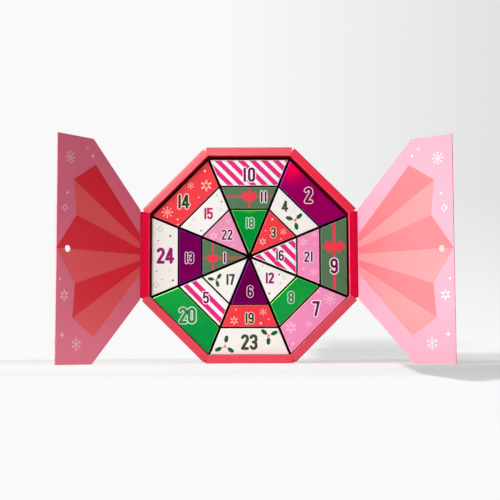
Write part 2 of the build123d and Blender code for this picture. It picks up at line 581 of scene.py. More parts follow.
class Print:
    """Ink on one flat face, drawn in the face's own plane and laid in very thin layers on it."""

    ink_step = 0.03 * MM
    stroke_step = 0.004 * MM
    stroke_steps = 6

    def __init__(self, name: str, solid_halo: bool = False) -> None:
        """Start an empty print.

        Args:
            name: The object's name.
            solid_halo: Whether a number's halo also fills its loops.
        """
        self.name = name
        self.solid_halo = solid_halo
        self.form = bmesh.new()
        self.finishes: list[Finish] = []
        self.drawn = 0

    def lay(self, ink: Finish, layer: int, faces: list[bmesh.types.BMFace]) -> None:
        """Give new faces their ink and their height."""
        if ink not in self.finishes:
            self.finishes.append(ink)
        height = self.ink_step * (layer + 1) + self.stroke_step * (self.drawn % self.stroke_steps)
        self.drawn += 1
        for face in faces:
            face.normal_update()
            face.material_index = self.finishes.index(ink)
            if face.normal.z < 0:
                face.normal_flip()
        for vert in {vert for face in faces for vert in face.verts}:
            vert.co.z = height

    def disc(
        self, ink: Finish, at: Point, radius: float, layer: int = 0, segments: int = 18,
        stretch: Point = (1.0, 1.0), turn: float = 0.0,
    ) -> None:
        """Draw a filled circle, ellipse or, with four segments, a lozenge.

        Args:
            ink: The ink.
            at: The centre, in millimetres.
            radius: The radius, in millimetres.
            layer: The layer of ink, from 0.
            segments: Corners around it.
            stretch: Scale along and across its axis.
            turn: The axis's direction, in radians.
        """
        place = (
            Matrix.Translation((at[0] * MM, at[1] * MM, 0.0))
            @ Matrix.Rotation(turn, 4, "Z")
            @ Matrix.Diagonal((stretch[0], stretch[1], 1.0, 1.0))
        )
        made = bmesh.ops.create_circle(
            self.form, cap_ends=True, segments=segments, radius=radius * MM,
            matrix=place @ Matrix.Rotation(math.pi / segments if segments != 4 else 0.0, 4, "Z"),
        )
        self.lay(ink, layer, list({face for vert in made["verts"] for face in vert.link_faces}))

    def shape(self, ink: Finish, points: list[Point], layer: int = 0) -> None:
        """Fill an outline given in millimetres."""
        verts = [self.form.verts.new((x * MM, y * MM, 0.0)) for x, y in points]
        self.lay(ink, layer, [self.form.faces.new(verts)])

    def stroke(
        self, ink: Finish, points: list[Point], width: float, layer: int = 0, closed: bool = False,
        round_ends: bool = True,
    ) -> None:
        """Draw a line of even width, mitred at its corners.

        Args:
            ink: The ink.
            points: The centre line, in millimetres.
            width: The line's width, in millimetres.
            layer: The layer of ink, from 0.
            closed: Whether the line returns to its start.
            round_ends: Whether an open line ends in half circles.
        """
        path = [Vector(point) for point in points]
        if closed:
            path = [point for i, point in enumerate(path) if (point - path[i - 1]).length > 1e-6]
        count = len(path)
        rails: list[list[bmesh.types.BMVert]] = [[], []]
        for i, point in enumerate(path):
            back = point - path[i - 1] if closed or i > 0 else path[1] - point
            ahead = path[(i + 1) % count] - point if closed or i < count - 1 else back
            back, ahead = back.normalized(), ahead.normalized()
            normal = Vector((-back.y - ahead.y, back.x + ahead.x)).normalized()
            reach = width / 2 / max(0.5, normal.dot(Vector((-back.y, back.x))))
            for rail, sign in zip(rails, (1, -1)):
                place = point + normal * reach * sign
                rail.append(self.form.verts.new((place.x * MM, place.y * MM, 0.0)))
        edges = []
        for rail in rails:
            pairs = list(zip(rail, rail[1:])) + ([(rail[-1], rail[0])] if closed else [])
            edges += [self.form.edges.new(pair) for pair in pairs]
        made = bmesh.ops.bridge_loops(self.form, edges=edges)
        self.lay(ink, layer, made["faces"])
        if round_ends and not closed:
            for end in (path[0], path[-1]):
                self.disc(ink, (end.x, end.y), width / 2, layer, 14)

    def number(
        self, value: int, at: Point, height: float, ink: Finish, halo: Finish | None, halo_width: float
    ) -> None:
        """Draw a number, centred on a point, with a halo behind it.

        Args:
            value: The number.
            at: Its centre, in millimetres.
            height: Its height, in millimetres.
            ink: The numerals' ink.
            halo: The halo's ink, or None.
            halo_width: How far the halo stands out, in millimetres.
        """
        text = str(value)
        widths = [Digit.one_width if digit == "1" else Digit.width for digit in text]
        spacing = Digit.spacing + Digit.kerning.get(text, 0.0)
        total = sum(widths) + spacing * (len(text) - 1)
        passes = [(ink, 4, 0.0)] if halo is None else [(halo, 3, 2 * halo_width), (ink, 4, 0.0)]
        weight = Digit.bold if halo is None else Digit.weight
        for finish, layer, extra in passes:
            left = -total / 2
            for digit, width in zip(text, widths):
                shift = left + width / 2 + (Digit.weight / 6 if digit == "1" else 0.0)
                for points, closed in Digit.strokes(digit):
                    line = [(at[0] + (x + shift) * height, at[1] + y * height) for x, y in points]
                    self.stroke(finish, line, weight * height + extra, layer, closed)
                    if closed and extra and self.solid_halo:
                        self.shape(halo, line, layer)
                left += width + spacing

    def ring(
        self, ink: Finish, at: Point, radius: float, width: float, layer: int = 0, corners: int = 20
    ) -> None:
        """Draw a ring, or with four corners a hollow lozenge."""
        turns = [math.tau * (i + 0.5 * (corners != 4)) / corners for i in range(corners)]
        self.stroke(ink, [polar(at, radius, turn) for turn in turns], width, layer, True)

    def petal_flake(self, ink: Finish, at: Point, radius: float) -> None:
        """Draw a snowflake of six pointed petals with a small chevron between each two."""
        for arm in range(6):
            turn = math.pi / 2 + math.tau * arm / 6
            for side in (-1, 1):
                lean = turn + side * 0.11
                middle = polar(at, 0.62 * radius, lean)
                self.disc(ink, middle, 0.38 * radius, 1, 4, (1.0, 0.24), turn - side * 0.1)
            between = turn + math.pi / 6
            for side in (-1, 1):
                line = [polar(at, 0.26 * radius, between), polar(at, 0.46 * radius, between + side * 0.2)]
                self.stroke(ink, line, 0.06 * radius, 1)

    def spoke_flake(self, ink: Finish, at: Point, radius: float) -> None:
        """Draw a snowflake of eight round-tipped spokes about a ring."""
        self.ring(ink, at, 0.3 * radius, 0.1 * radius, 1)
        self.disc(ink, at, 0.12 * radius, 1)
        for arm in range(8):
            turn = math.tau * arm / 8
            outer = polar(at, 0.86 * radius, turn)
            self.stroke(ink, [polar(at, 0.42 * radius, turn), outer], 0.1 * radius, 1)
            self.disc(ink, outer, 0.13 * radius, 1, 12)

    def star_flake(self, ink: Finish, at: Point, radius: float) -> None:
        """Draw a plain snowflake of six spokes with a pair of branches on each."""
        for arm in range(6):
            turn = math.pi / 2 + math.tau * arm / 6
            self.stroke(ink, [at, polar(at, radius, turn)], 0.11 * radius, 1)
            root = polar(at, 0.55 * radius, turn)
            for side in (-1, 1):
                self.stroke(ink, [root, polar(root, 0.32 * radius, turn + side * 0.8)], 0.09 * radius, 1)

    def sparkle(self, ink: Finish, at: Point, radius: float) -> None:
        """Draw a star of four narrow points."""
        for turn in (0.0, math.pi / 2):
            self.disc(ink, at, radius, 1, 4, (1.0, 0.32), turn)

    def holly(self, at: Point, leaves: list[Point], length: float) -> None:
        """Draw a sprig of three holly leaves about a few berries.

        Args:
            at: The berries' place, in millimetres.
            leaves: The leaves' centres, in millimetres.
            length: A leaf's length, in millimetres.
        """
        steps, prickles = 40, 3.5
        for leaf in leaves:
            turn = math.atan2(leaf[1] - at[1], leaf[0] - at[0])
            outline = []
            for i in range(steps):
                angle = math.tau * i / steps
                peak, hollow = abs(math.cos(prickles * angle)) ** 3, abs(math.sin(prickles * angle))
                prickle = 1.0 + 0.14 * peak - 0.1 * hollow
                along = 0.5 * length * math.cos(angle) * (1.0 + 0.06 * (prickle - 1.0))
                across = 0.27 * length * math.sin(angle) * prickle
                outline.append((
                    leaf[0] + along * math.cos(turn) - across * math.sin(turn),
                    leaf[1] + along * math.sin(turn) + across * math.cos(turn),
                ))
            self.shape(LEAF_INK, outline, 1)
            stem = polar(leaf, -0.4 * length, turn)
            self.stroke(FOREST_INK, [stem, polar(leaf, 0.32 * length, turn)], 0.035 * length, 2)
            self.stroke(BERRY_INK, [at, stem], 0.05 * length, 1)
        for i in range(3):
            berry = polar(at, 0.13 * length, math.pi / 2 + math.tau * i / 3)
            self.disc(BERRY_INK, berry, 0.1 * length, 2, 12)

    @staticmethod
    def rounded(points: list[Point], rounds: int = 2) -> list[Point]:
        """Return a closed outline with its corners cut off again and again, which rounds them."""
        for _ in range(rounds):
            ends = list(zip(points, points[1:] + points[:1]))
            points = [
                (a[0] * (1 - share) + b[0] * share, a[1] * (1 - share) + b[1] * share)
                for a, b in ends for share in (0.25, 0.75)
            ]
        return points

    def bow(self, at: Point, width: float) -> None:
        """Draw a ribbon bow: two loops, two tails and a knot.

        Args:
            at: The knot's place, in millimetres.
            width: The bow's whole width, in millimetres.
        """
        half = width / 2
        loop = [
            (0.0, 0.1), (0.3, 0.46), (0.66, 0.68), (0.96, 0.62), (1.02, 0.3), (0.94, 0.0), (1.02, -0.24),
            (0.8, -0.42), (0.4, -0.28), (0.0, -0.1),
        ]
        tail = [
            (0.0, 0.02), (0.86, -0.26), (0.72, -0.62), (0.5, -0.74), (0.36, -0.68), (0.14, -0.2), (0.0, -0.2),
        ]
        for side in (-1, 1):
            for outline in (self.rounded(loop), tail):
                corners = [(at[0] + side * x * half, at[1] + y * half) for x, y in outline]
                self.shape(RIBBON_INK, corners, 2)
        self.disc(RIBBON_INK, at, 0.2 * half, 2, 16)

    def trim(self, corners: list[Point], margin: float) -> None:
        """Cut the print off along a convex outline.

        Args:
            corners: The outline's corners, in millimetres.
            margin: How far inside the outline the ink ends, in millimetres.
        """
        middle = sum((Vector(corner) for corner in corners), Vector((0.0, 0.0))) / len(corners)
        for i, corner in enumerate(corners):
            start, along = Vector(corner), Vector(corner) - Vector(corners[i - 1])
            outward = Vector((along.y, -along.x)).normalized()
            if outward.dot(start - middle) < 0:
                outward = -outward
            edge = (start - outward * margin) * MM
            bmesh.ops.bisect_plane(
                self.form,
                geom=self.form.verts[:] + self.form.edges[:] + self.form.faces[:],
                plane_co=(edge.x, edge.y, 0.0), plane_no=(outward.x, outward.y, 0.0), clear_outer=True,
            )

    def finish(self, place: Matrix) -> bpy.types.Object:
        """Move the print onto its face and make it an object.

        Args:
            place: From the face's plane, whose Z is its outward normal, to the frame.

        Returns:
            The print.
        """
        bmesh.ops.transform(self.form, matrix=place, verts=self.form.verts)
        if place.determinant() < 0:
            bmesh.ops.reverse_faces(self.form, faces=self.form.faces)
        return make_object(self.name, self.form, self.finishes)


class Design(Enum):
    """The printed designs of the gift boxes, each with its board, its numerals and their halo."""

    STRIPES = (CREAM, PURPLE_INK, WHITE_INK)
    GIFT = (SAGE, PURPLE_INK, WHITE_INK)
    GREEN = (GREEN_FOIL, GREEN_DEEP, MINT_INK)
    PURPLE = (PURPLE_FOIL, PURPLE_DEEP, LILAC_INK)
    # This design's foil carries a painted red reflection.
    RED_PURPLE = (PURPLE_FOIL_PAINTED_RED_REFLECTION, RED_PURPLE_DEEP, LILAC_INK)
    HOLLY = (CREAM, OLIVE_INK, None)
    SNOW_CORAL = (CORAL, FOREST_INK, BLUSH_INK)
    SNOW_PINK = (PINK, PURPLE_INK, WHITE_INK)
    DUST = (CREAM, PLUM_INK, None)


@dataclass
class GiftBox:
    """One gift box: its carton, its lid and the print on it. Sizes are in millimetres."""

    number: int
    design: Design
    at: Point
    height: float
    dots: list[Spot] = field(default_factory=list)
    petals: list[Spot] = field(default_factory=list)
    spokes: list[Spot] = field(default_factory=list)
    stars: list[Spot] = field(default_factory=list)
    lozenges: list[Spot] = field(default_factory=list)
    sprigs: list[tuple[Point, list[Point]]] = field(default_factory=list)
    knot: Spot | None = None
    stripe_start: float = -301.6
    stripe_fall: float = 45.3
    stripe_reach: float = 300.0
    stripe_pitch: float = 15.36
    stripe_width: float = 8.6
    fold_radius: float = 0.9
    stripe_count: int = 40
    leaf_length: float = 13.5
    ribbon_width: float = 5.4
    ribbon_reach: float = 120.0
    dull_ribbon_share: float = 1.35
    lozenge_line_share: float = 0.22
    halo_share: float = 0.06
    numerals: Finish | None = None
    face: Finish | None = None

    @property
    def board(self) -> Finish:
        """The finish of the box's faces."""
        return self.face or self.design.value[0]

    @property
    def lid(self) -> str:
        """The name of the lid's node and body."""
        return f"lid_{self.number:02d}"

    @property
    def carton(self) -> str:
        """The name of the carton's node."""
        return f"carton_{self.number:02d}"

    @property
    def slot(self) -> str:
        """The record's material slot of this box."""
        for part in frame["record"]["subparts"]:
            if part["node"] == self.lid:
                return part["material_slot"]
        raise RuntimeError(f"{self.lid} has no slot")

    def outline(self) -> tuple[list[Point], float]:
        """Read the face's corners from the CAD lid.

        Returns:
            The corners in millimetres from the octagon's centre, in order, and the face's Y in metres.
        """
        verts = [vert.co for vert in frame["nodes"][self.lid].data.vertices]
        face_y = min(vert.y for vert in verts)
        corners = {
            (round(vert.x / MM, 3), round((vert.z - CENTRE) / MM, 3))
            for vert in verts if vert.y < face_y + TOUCH
        }
        middle = (sum(x for x, _ in corners) / len(corners), sum(y for _, y in corners) / len(corners))
        return sorted(corners, key=lambda c: math.atan2(c[1] - middle[1], c[0] - middle[0])), face_y

    def fold(self) -> Finish:
        """Return the finish of this box's folded edges, which are painted lighter as a highlight."""
        if self.design is Design.GREEN:
            return GREEN_FOLD_PAINTED_HIGHLIGHT
        if isinstance(self.board, Foil):
            return PURPLE_FOLD_PAINTED_HIGHLIGHT
        return Fold(f"{self.board.name}_fold", self.board.colour)

    def build_lid(self) -> None:
        """Make the lid, with rounded folds and its tuck tab."""
        form = merged_node(self.lid)
        face_y = min(vert.co.y for vert in form.verts)
        near = face_y + TOUCH
        for face in form.faces:
            behind = face.normal.y > 0.5 or face.calc_center_median().y > face_y + 1.0 * MM
            face.material_index = 2 if behind else 0
        front = [edge for edge in form.edges if sharp(edge) and all(v.co.y < near for v in edge.verts)]
        soften(form, front, self.fold_radius * MM, 3, 1)
        piece = make_object(f"{self.lid}_board", form, [self.board, self.fold(), BOX_INSIDE])
        attach(piece, self.lid, self.slot, self.lid)

    def build_carton(self) -> None:
        """Make the carton, with rounded folds outside, dark outer sides as painted shade, and bare board inside.
        """
        form = merged_node(self.carton)
        middle = sum((vert.co for vert in form.verts), Vector()) / len(form.verts)
        mouth = min(vert.co.y for vert in form.verts)
        for face in form.faces:
            inward = (middle - face.calc_center_median()).dot(face.normal) > 0
            face.material_index = 2 if inward or face.normal.y < -0.5 else 0
        folds = [
            edge for edge in form.edges
            if sharp(edge) and not all(vert.co.y < mouth + TOUCH for vert in edge.verts)
            and all(face.material_index == 0 for face in edge.link_faces)
        ]
        soften(form, folds, self.fold_radius * MM, 3, 1)
        piece = make_object(f"{self.carton}_board", form, [CARTON_SIDE_PAINTED_SHADE, CARTON_FOLD_PAINTED_SHADE, BOX_INSIDE])
        attach(piece, f"box_{self.number:02d}", self.slot, self.carton)

    def stripes(self, ink: Print) -> None:
        """Draw diagonal stripes, falling to the right."""
        fall = math.radians(self.stripe_fall)
        along, across = Vector((math.cos(fall), -math.sin(fall))), Vector((math.sin(fall), math.cos(fall)))
        for i in range(self.stripe_count):
            middle = across * (self.stripe_start + i * self.stripe_pitch)
            line = [tuple(middle - along * self.stripe_reach), tuple(middle + along * self.stripe_reach)]
            ink.stroke(MAGENTA_INK, line, self.stripe_width, 0, round_ends=False)

    def ribbons(self, ink: Print) -> None:
        """Draw the two crossing ribbons and their bow."""
        x, y, width = self.knot
        level = [(x - self.ribbon_reach, y), (x + self.ribbon_reach, y)]
        upright = [(x, y - self.ribbon_reach), (x, y + self.ribbon_reach)]
        dull_width = self.ribbon_width * self.dull_ribbon_share
        ink.stroke(DULL_RIBBON_INK, level, dull_width, 0, round_ends=False)
        ink.stroke(RIBBON_INK, upright, self.ribbon_width, 1, round_ends=False)
        ink.bow((x, y), width)

    def build_print(self) -> None:
        """Draw the box's design and its number on its lid."""
        corners, face_y = self.outline()
        ink = Print(f"{self.lid}_print", solid_halo=not isinstance(self.board, Foil))
        flakes = {Design.SNOW_CORAL: FROST_INK, Design.SNOW_PINK: ROSE_INK}.get(self.design, FAINT_INK)
        if self.design is Design.STRIPES:
            self.stripes(ink)
        if self.knot:
            self.ribbons(ink)
        dot_ink = DUST_INK if self.design is Design.DUST else flakes
        for x, y, radius in self.dots:
            ink.disc(dot_ink, (x, y), radius, 1)
        for draw, spots in (
            (ink.petal_flake, self.petals), (ink.spoke_flake, self.spokes), (ink.star_flake, self.stars),
        ):
            for x, y, radius in spots:
                draw(flakes, (x, y), radius)
        for x, y, radius in self.lozenges:
            ink.ring(flakes, (x, y), radius, self.lozenge_line_share * radius, 1, 4)
        for at, leaves in self.sprigs:
            ink.holly(at, leaves, self.leaf_length)
        _, digits, halo = self.design.value
        halo_width = self.halo_share * self.height
        ink.number(self.number, self.at, self.height, self.numerals or digits, halo, halo_width)
        ink.trim(corners, self.fold_radius)
        place = Matrix((
            (1.0, 0.0, 0.0, 0.0), (0.0, 0.0, -1.0, face_y), (0.0, 1.0, 0.0, CENTRE), (0.0, 0.0, 0.0, 1.0),
        ))
        attach(ink.finish(place), self.lid, self.slot)

    def build(self) -> None:
        """Make the carton, the lid and the print."""
        self.build_carton()
        self.build_lid()
        self.build_print()


def gift_boxes() -> list[GiftBox]:
    """List the 24 boxes, with every place in millimetres from the octagon's centre."""
    return [
        GiftBox(10, Design.STRIPES, (-0.4, 149.8), 27.3),
        GiftBox(11, Design.GIFT, (26.4, 108.3), 21.8, knot=(0.2, 109.0, 27.0), ribbon_width=4.4),
        GiftBox(18, Design.GREEN, (1.1, 59.2), 19.9, face=GREEN_FOIL_PAINTED_SHADE_AND_HIGHLIGHT),
        GiftBox(2, Design.RED_PURPLE, (110.5, 110.8), 28.9),
        GiftBox(4, Design.HOLLY, (66.2, 90.4), 20.7,
                sprigs=[((85.4, 64.3), [(74.3, 67.7), (93.0, 71.5), (87.5, 52.8)])]),
        GiftBox(3, Design.SNOW_CORAL, (44.5, 41.2), 19.2,
                dots=[(42.9, 66.1, 2.2), (30.1, 44.7, 1.3), (59.0, 29.3, 1.5)], petals=[(24.9, 24.7, 7.6)],
                stars=[(63.5, 42.6, 6.2)]),
        GiftBox(9, Design.GIFT, (156.8, -21.2), 28.3, knot=(157.2, 15.0, 33.0)),
        GiftBox(21, Design.SNOW_PINK, (109.4, -3.9), 20.2, dots=[(122.0, 19.6, 1.2), (99.8, -26.6, 2.2)],
                petals=[(100.9, 23.4, 8.0)], stars=[(121.2, 37.7, 5.6), (118.7, -32.4, 7.6)]),
        GiftBox(16, Design.STRIPES, (56.2, -1.4), 19.6, stripe_start=-297.2),
        GiftBox(7, Design.SNOW_PINK, (122.6, -100.2), 28.3,
                dots=[(126.5, -69.3, 2.0), (100.8, -102.8, 1.2), (79.7, -164.6, 2.3)],
                petals=[(75.8, -134.5, 11.5)], spokes=[(148.6, -82.2, 10.8)], stars=[(109.0, -128.8, 7.0)]),
        GiftBox(8, Design.GREEN, (76.7, -79.2), 21.8),
        GiftBox(12, Design.DUST, (37.2, -43.1), 20.2,
                dots=[(11.7, -15.2, 1.0), (54.8, -36.9, 1.6), (57.1, -52.7, 1.0), (36.7, -71.8, 1.8),
                       (25.0, -20.1, 0.8)],
                lozenges=[(16.5, -28.7, 3.0), (64.3, -43.0, 3.6)]),
        GiftBox(23, Design.HOLLY, (-0.7, -161.1), 28.3,
                sprigs=[((-45.4, -168.8), [(-42.8, -155.3), (-57.4, -173.9), (-34.7, -175.7)]),
                       ((34.9, -149.4), [(26.8, -142.7), (45.4, -144.6), (34.6, -159.6)])]),
        GiftBox(19, Design.SNOW_CORAL, (-0.4, -117.1), 20.7,
                dots=[(-24.7, -101.3, 1.4), (20.7, -126.6, 2.2), (35.6, -119.4, 1.3)],
                petals=[(-28.4, -121.4, 8.4)], stars=[(25.6, -105.6, 7.0)]),
        GiftBox(6, Design.PURPLE, (1.3, -68.0), 21.1),
        GiftBox(20, Design.GREEN, (-114.5, -111.8), 29.4),
        GiftBox(5, Design.STRIPES, (-80.2, -79.1), 21.8, stripe_start=-123.0, stripe_count=2),
        GiftBox(17, Design.HOLLY, (-35.5, -45.8), 20.2, leaf_length=11.5,
                sprigs=[((-60.9, -46.3), [(-71.1, -44.6), (-55.9, -39.7), (-59.0, -53.8)])]),
        GiftBox(24, Design.DUST, (-155.9, -1.1), 29.4,
                dots=[(-146.5, 35.3, 2.0), (-168.2, 26.9, 1.2), (-171.5, -30.1, 1.3),
                       (-141.3, -47.0, 1.9), (-161.6, -45.5, 1.0)],
                lozenges=[(-165.1, 48.7, 5.6), (-172.8, -55.2, 5.6), (-147.5, -27.6, 3.4)]),
        GiftBox(13, Design.PURPLE, (-111.4, -5.4), 20.7),
        GiftBox(1, Design.GIFT, (-46.2, -5.3), 20.2, knot=(-67.5, -6.2, 20.0), ribbon_width=3.8),
        GiftBox(14, Design.SNOW_CORAL, (-122.6, 99.7), 27.3,
                dots=[(-82.5, 156.8, 2.3), (-94.0, 107.5, 1.5), (-132.8, 66.3, 1.8), (-132.3, 56.8, 1.5)],
                petals=[(-79.6, 129.4, 11.8)], spokes=[(-152.0, 79.8, 10.8)], stars=[(-108.8, 129.6, 6.6)]),
        GiftBox(15, Design.DUST, (-76.1, 77.1), 21.1, numerals=CERISE_INK,
                dots=[(-60.8, 111.1, 1.0), (-51.6, 99.3, 1.4), (-89.4, 45.2, 1.5), (-109.9, 55.6, 1.0)],
                lozenges=[(-52.4, 84.0, 3.6), (-103.0, 66.3, 3.6)]),
        GiftBox(22, Design.SNOW_PINK, (-41.3, 37.5), 19.6, face=PINK_PAINTED_SHADE,
                dots=[(-28.3, 16.8, 1.4), (-16.8, 11.6, 1.0)], petals=[(-65.7, 35.3, 7.8)],
                stars=[(-39.0, 62.0, 5.4)]),
    ]


@dataclass
class Tray:
    """The tray: eight folded walls and the back board."""

    inner_radius: float = 1.2 * MM
    cut_radius: float = 0.5 * MM
    lining_inset: float = 14.0 * MM
    lining_sink: float = 0.2 * MM
    rim_depth: float = 3.0 * MM
    skin: float = 0.5 * MM
    lining_step: float = 0.02 * MM
    lining_join: float = 0.6 * MM
    wall_names: tuple[str, ...] = (
        "wall_top", "wall_top_right", "wall_right", "wall_bottom_right",
        "wall_bottom", "wall_bottom_left", "wall_left", "wall_top_left",
    )
    outer_radii: Row = (2.4,) * 7 + (6.0,)
    glosses: Row = (0.7, 0.42, 0.004, 1.0, 0.95, 1.0, 0.01, 0.85)
    # Each wall's crimson made lighter or darker: painted light and shade on the walls.
    tones: Row = (1.06, 1.18, 0.96, 0.86, 1.0, 0.96, 1.1, 1.04)
    roughnesses: Row = (0.3,) * 7 + (0.5,)
    outer_setbacks: Row = (1.3, 0.5, 0.0, 0.0, 0.0, 0.0, 0.2, 1.6)
    inner_setbacks: Row = (0.0, 0.0, 0.0, 1.4, 1.8, 1.8, 0.0, 0.0)

    def build_wall(self, sector: int) -> None:
        """Make one wall, with rounded folds at its rim and raw board at its cut ends.

        The rim of a folded board leans a little, out or in, by the setbacks of its two edges.

        Args:
            sector: The wall's sector, clockwise from the top.
        """
        name, turn = self.wall_names[sector], math.tau * sector / SECTORS
        form = merged_node(name)
        outward = Vector((math.sin(turn), 0.0, math.cos(turn)))
        along = Vector((math.cos(turn), 0.0, -math.sin(turn)))
        origin = UP * CENTRE
        depths = [(vert.co - origin).dot(outward) for vert in form.verts]
        low, high = min(depths), max(depths)
        front = min(vert.co.y for vert in form.verts)
        for face in form.faces:
            middle = face.calc_center_median()
            radius = (middle - origin).dot(outward)
            ends = abs(face.normal.dot(along)) > 0.3
            hollow = low + self.skin < radius < high - self.skin and middle.y > front + self.skin
            face.material_index = 2 if ends or hollow else 0
        outer, inner, cuts = [], [], []
        for edge in form.edges:
            if sharp(edge) and all(vert.co.y < front + TOUCH for vert in edge.verts):
                middle = (edge.verts[0].co + edge.verts[1].co) / 2
                lies_along = abs((edge.verts[0].co - edge.verts[1].co).normalized().dot(along)) > 0.99
                at_outside = (middle - origin).dot(outward) > (low + high) / 2
                (cuts if not lies_along else outer if at_outside else inner).append(edge)
        for vert in form.verts:
            if vert.co.y < front + self.rim_depth:
                out = ((vert.co - origin).dot(outward) - low) / (high - low)
                setback = self.inner_setbacks[sector] * (1.0 - out) + self.outer_setbacks[sector] * out
                vert.co.y += MM * setback
        soften(form, outer, self.outer_radii[sector] * MM, 8, 0)
        soften(form, [edge for edge in inner if edge.is_valid], self.inner_radius, 4, 1)
        soften(form, [edge for edge in cuts if edge.is_valid], self.cut_radius, 1, 2)
        # Painted light and shade: the wall's crimson scaled by its tone.
        colour = scaled(CRIMSON, self.tones[sector])
        film = replace(
            RIM_RED, name=f"{name}_red", colour=colour, roughness=self.roughnesses[sector],
            gloss=self.glosses[sector],
        )
        piece = make_object(f"{name}_board", form, [film, RIM_FOLD, RAW])
        attach(piece, TRAY, "tray_red", name)

    def build_back(self) -> None:
        """Make the back board with a soft edge, and a paper lining inside its turned-in border."""
        form = merged_node("back_panel")
        edges = [edge for edge in form.edges if sharp(edge)]
        soften(form, edges, 0.5 * MM, 2)
        form.faces.ensure_lookup_table()
        rear = [max(form.faces, key=lambda face: face.calc_center_median().y * 1e3 + face.calc_area())]
        bmesh.ops.inset_region(form, faces=rear, thickness=self.lining_inset, use_even_offset=True)
        bmesh.ops.inset_region(form, faces=rear, thickness=self.lining_step, depth=-self.lining_sink)
        for face in rear:
            face.material_index = 1
            level = min(vert.co.y for vert in face.verts)
            for vert in face.verts:
                vert.co.y = level
        # Forward-facing faces get the near-black inside finish: painted shade between the boxes.
        for face in form.faces:
            if face.normal.y < -0.9:
                face.material_index = 2
        bmesh.ops.remove_doubles(form, verts=rear[0].verts[:], dist=self.lining_join)
        piece = make_object("back_board", form, [RIM_RED, LINING, TRAY_INSIDE_PAINTED_SHADE])
        attach(piece, TRAY, "tray_red", "back_panel")

    def build(self) -> None:
        """Make the walls and the back."""
        for sector in range(SECTORS):
            self.build_wall(sector)
        self.build_back()


